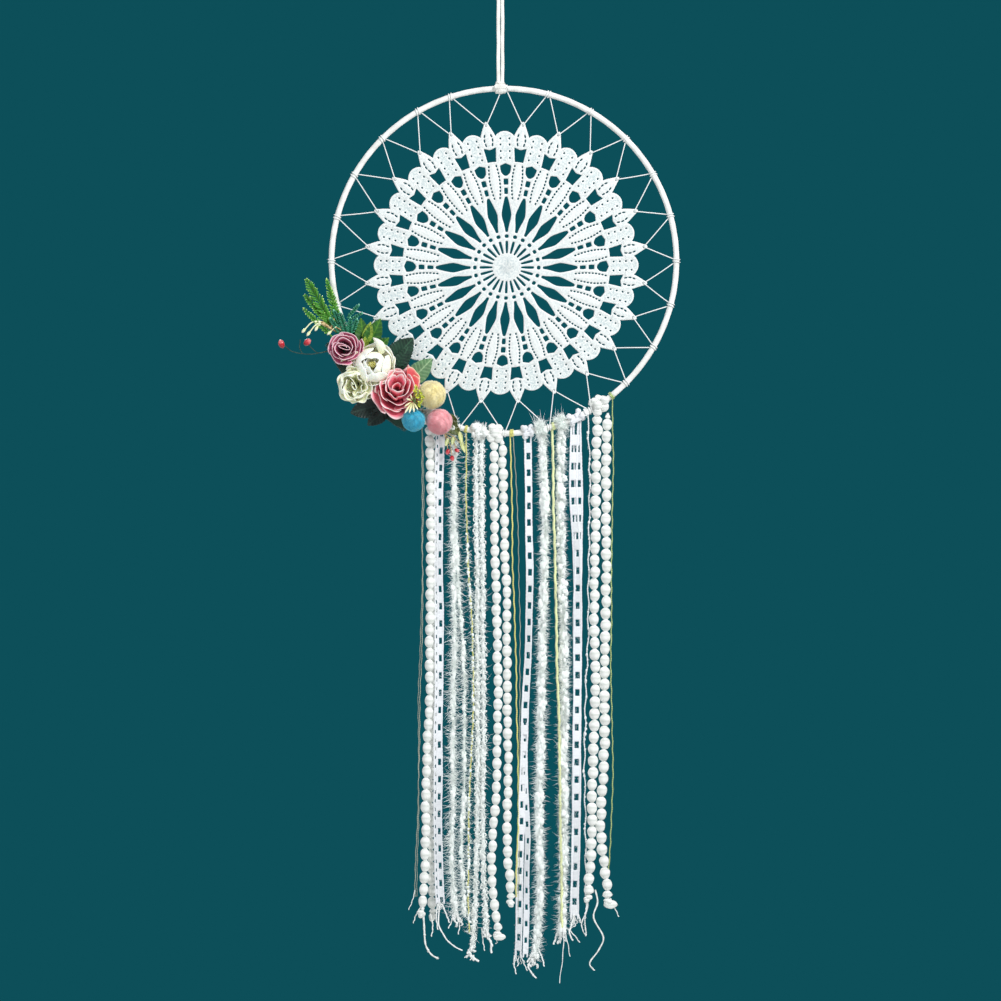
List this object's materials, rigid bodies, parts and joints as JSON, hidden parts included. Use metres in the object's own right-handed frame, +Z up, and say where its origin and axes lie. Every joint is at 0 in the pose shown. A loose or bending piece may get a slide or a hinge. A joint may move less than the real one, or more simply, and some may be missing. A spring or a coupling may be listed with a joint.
{
  "type": "dream catcher",
  "caption": "Hanging dream catcher: a wrapped hoop with a laced-in openwork doily, a spray of cloth flowers and pom-poms, and a long fringe of white yarns and trims.",
  "frame": {"origin": "inside top of the hanging loop, where it rests on its nail or hook", "axes": "+Z up, against the hang; +X to the right and -Y towards the viewer when seen from the front"},
  "size_m": [0.3441, 0.0451, 0.852],
  "materials": {
    "suede_white": "matte suede lace",
    "steel": "satin wire",
    "lace_white": "chemical lace, matte cotton",
    "thread_white": "waxed thread",
    "felt_green": "pressed felt",
    "petal_mauve": "satin petals with pale edges",
    "petal_cream": "soft satin petals",
    "petal_pink": "satin petals with pale edges",
    "pompom_cream": "fluffy yarn",
    "pompom_pink": "fluffy yarn",
    "pompom_blue": "fluffy yarn",
    "bud_green": "small moulded buds",
    "leaf_olive": "printed cloth leaf",
    "leaf_dark": "printed cloth leaf",
    "leaf_green": "printed cloth leaf with veins",
    "fern_green": "moulded fern",
    "twig_tan": "wrapped stem",
    "berry_red": "gloss lacquer",
    "yarn_white": "fluffy white yarn",
    "yarn_mint": "eyelash yarn, pale mint white",
    "trim_white": "woven cotton trim",
    "thread_gold": "metallic thread",
    "thread_lime": "metallic thread"
  },
  "bodies": {
    "hanger": {"hanging_strap": "suede_white"},
    "hitch": {"hanger_hitch": "suede_white"},
    "hoop": {"hoop_ring": "steel", "hoop_wrap": "suede_white", "lace_doily": "lace_white", "lacing_thread": "thread_white", "felt_backing": "felt_green", "mauve_rose": "petal_mauve", "cream_flower_upper": "petal_cream", "cream_flower_lower": "petal_cream", "pink_rose": "petal_pink", "cream_pompom": "pompom_cream", "pink_pompom": "pompom_pink", "blue_pompom": "pompom_blue", "bud_sprig": "bud_green", "olive_leaf": "leaf_olive", "dark_leaf_upper": "leaf_dark", "dark_leaf_lower": "leaf_dark", "small_leaf": "leaf_olive", "veined_leaf": "leaf_green", "fern_sprigs": "fern_green", "juniper_sprigs": "fern_green", "twig": "twig_tan", "berry_spray_left": "berry_red", "berry_spray_lower": "berry_red", "gold_thread_left_knot": "thread_gold", "ball_trim_left_knot": "trim_white", "ladder_ribbon_left_knot": "trim_white", "slub_yarn_knot": "yarn_mint", "gold_thread_mid_knot": "thread_gold", "boucle_yarn_knot": "yarn_white", "ball_trim_mid_knot": "trim_white", "gold_thread_pair_knot": "thread_gold", "ladder_yarn_knot": "trim_white", "eyelash_yarn_inner_knot": "yarn_mint", "lime_thread_knot": "thread_lime", "eyelash_yarn_outer_knot": "yarn_mint", "ladder_ribbon_right_knot": "trim_white", "thin_boucle_knot": "yarn_white", "ball_trim_right_knot": "trim_white", "green_thread_knot": "thread_lime"},
    "gold_thread_left": {"gold_thread_left": "thread_gold"},
    "ball_trim_left": {"ball_trim_left": "trim_white"},
    "ladder_ribbon_left": {"ladder_ribbon_left": "trim_white"},
    "slub_yarn": {"slub_yarn": "yarn_mint"},
    "gold_thread_mid": {"gold_thread_mid": "thread_gold"},
    "boucle_yarn": {"boucle_yarn": "yarn_white"},
    "ball_trim_mid": {"ball_trim_mid": "trim_white"},
    "gold_thread_pair": {"gold_thread_pair": "thread_gold"},
    "ladder_yarn": {"ladder_yarn": "trim_white"},
    "eyelash_yarn_inner": {"eyelash_yarn_inner": "yarn_mint"},
    "lime_thread": {"lime_thread": "thread_lime"},
    "eyelash_yarn_outer": {"eyelash_yarn_outer": "yarn_mint"},
    "ladder_ribbon_right": {"ladder_ribbon_right": "trim_white"},
    "thin_boucle": {"thin_boucle": "yarn_white"},
    "ball_trim_right": {"ball_trim_right": "trim_white"},
    "green_thread": {"green_thread": "thread_lime"}
  },
  "joints": [
    {"name": "hanger_twist", "type": "hinge", "parent": "hanger", "child": "hitch", "pos_m": [0, 0, -0.09753], "axis": [0, 0, 1], "range_deg": [-180, 180]},
    {"name": "hoop_tilt", "type": "hinge", "parent": "hitch", "child": "hoop", "pos_m": [0, 0, -0.09753], "axis": [0.9998, 0, 0.021], "range_deg": [-30, 30]},
    {"name": "gold_thread_left_swing", "type": "hinge", "parent": "hoop", "child": "gold_thread_left", "pos_m": [-0.0671, 0, -0.37942], "axis": [1, 0, 0], "range_deg": [0, 35]},
    {"name": "ball_trim_left_swing", "type": "hinge", "parent": "hoop", "child": "ball_trim_left", "pos_m": [-0.0605, 0, -0.38547], "axis": [1, 0, 0], "range_deg": [0, 35]},
    {"name": "ladder_ribbon_left_swing", "type": "hinge", "parent": "hoop", "child": "ladder_ribbon_left", "pos_m": [-0.0509, 0, -0.38866], "axis": [1, 0, 0], "range_deg": [0, 35]},
    {"name": "slub_yarn_swing", "type": "hinge", "parent": "hoop", "child": "slub_yarn", "pos_m": [-0.0399, 0, -0.39254], "axis": [1, 0, 0], "range_deg": [0, 35]},
    {"name": "gold_thread_mid_swing", "type": "hinge", "parent": "hoop", "child": "gold_thread_mid", "pos_m": [-0.0294, 0, -0.39369], "axis": [1, 0, 0], "range_deg": [-35, 35]},
    {"name": "boucle_yarn_swing", "type": "hinge", "parent": "hoop", "child": "boucle_yarn", "pos_m": [-0.0179, 0, -0.39789], "axis": [1, 0, 0], "range_deg": [-35, 35]},
    {"name": "ball_trim_mid_swing", "type": "hinge", "parent": "hoop", "child": "ball_trim_mid", "pos_m": [-0.0014, 0, -0.3988], "axis": [1, 0, 0], "range_deg": [-35, 35]},
    {"name": "gold_thread_pair_swing", "type": "hinge", "parent": "hoop", "child": "gold_thread_pair", "pos_m": [0.0097, 0, -0.39714], "axis": [1, 0, 0], "range_deg": [-35, 35]},
    {"name": "ladder_yarn_swing", "type": "hinge", "parent": "hoop", "child": "ladder_yarn", "pos_m": [0.0235, 0, -0.39711], "axis": [1, 0, 0], "range_deg": [-35, 35]},
    {"name": "eyelash_yarn_inner_swing", "type": "hinge", "parent": "hoop", "child": "eyelash_yarn_inner", "pos_m": [0.0361, 0, -0.39615], "axis": [1, 0, 0], "range_deg": [-35, 35]},
    {"name": "lime_thread_swing", "type": "hinge", "parent": "hoop", "child": "lime_thread", "pos_m": [0.0455, 0, -0.39108], "axis": [1, 0, 0], "range_deg": [-35, 35]},
    {"name": "eyelash_yarn_outer_swing", "type": "hinge", "parent": "hoop", "child": "eyelash_yarn_outer", "pos_m": [0.0521, 0, -0.39134], "axis": [1, 0, 0], "range_deg": [-35, 35]},
    {"name": "ladder_ribbon_right_swing", "type": "hinge", "parent": "hoop", "child": "ladder_ribbon_right", "pos_m": [0.0645, 0, -0.38628], "axis": [1, 0, 0], "range_deg": [-35, 35]},
    {"name": "thin_boucle_swing", "type": "hinge", "parent": "hoop", "child": "thin_boucle", "pos_m": [0.0733, 0, -0.37942], "axis": [1, 0, 0], "range_deg": [-35, 35]},
    {"name": "ball_trim_right_swing", "type": "hinge", "parent": "hoop", "child": "ball_trim_right", "pos_m": [0.0851, 0, -0.37646], "axis": [1, 0, 0], "range_deg": [-35, 35]},
    {"name": "green_thread_swing", "type": "hinge", "parent": "hoop", "child": "green_thread", "pos_m": [0.0951, 0, -0.36477], "axis": [1, 0, 0], "range_deg": [-35, 35]}
  ]
}
